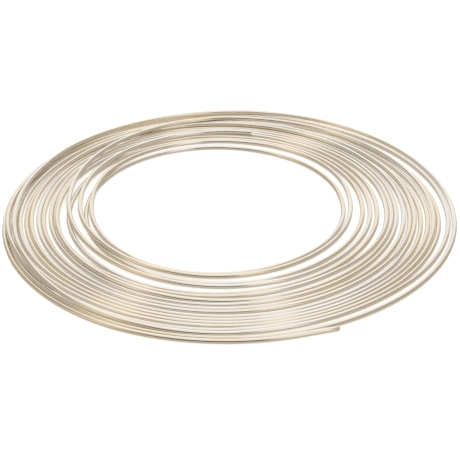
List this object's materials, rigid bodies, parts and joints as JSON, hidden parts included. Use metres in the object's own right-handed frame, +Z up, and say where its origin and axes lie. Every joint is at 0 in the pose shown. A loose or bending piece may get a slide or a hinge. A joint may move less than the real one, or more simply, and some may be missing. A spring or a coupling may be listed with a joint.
{
  "type": "coil of aluminum tubing",
  "caption": "Loosened flat coil of thin round aluminum tubing lying down, with an open eye, crossing turns and a square-cut free tube end at the rim.",
  "frame": {"origin": "centre of the outermost turn, on the floor under the coil", "axes": "+Z up along the eye's axis, +X to the right as seen from the side of the free end, -Y towards the free end's side"},
  "size_m": [0.45, 0.45, 0.0143],
  "materials": {
    "aluminum_tube": "satin, as drawn"
  },
  "bodies": {
    "root": {"tubing_coil": "aluminum_tube"}
  },
  "joints": []
}
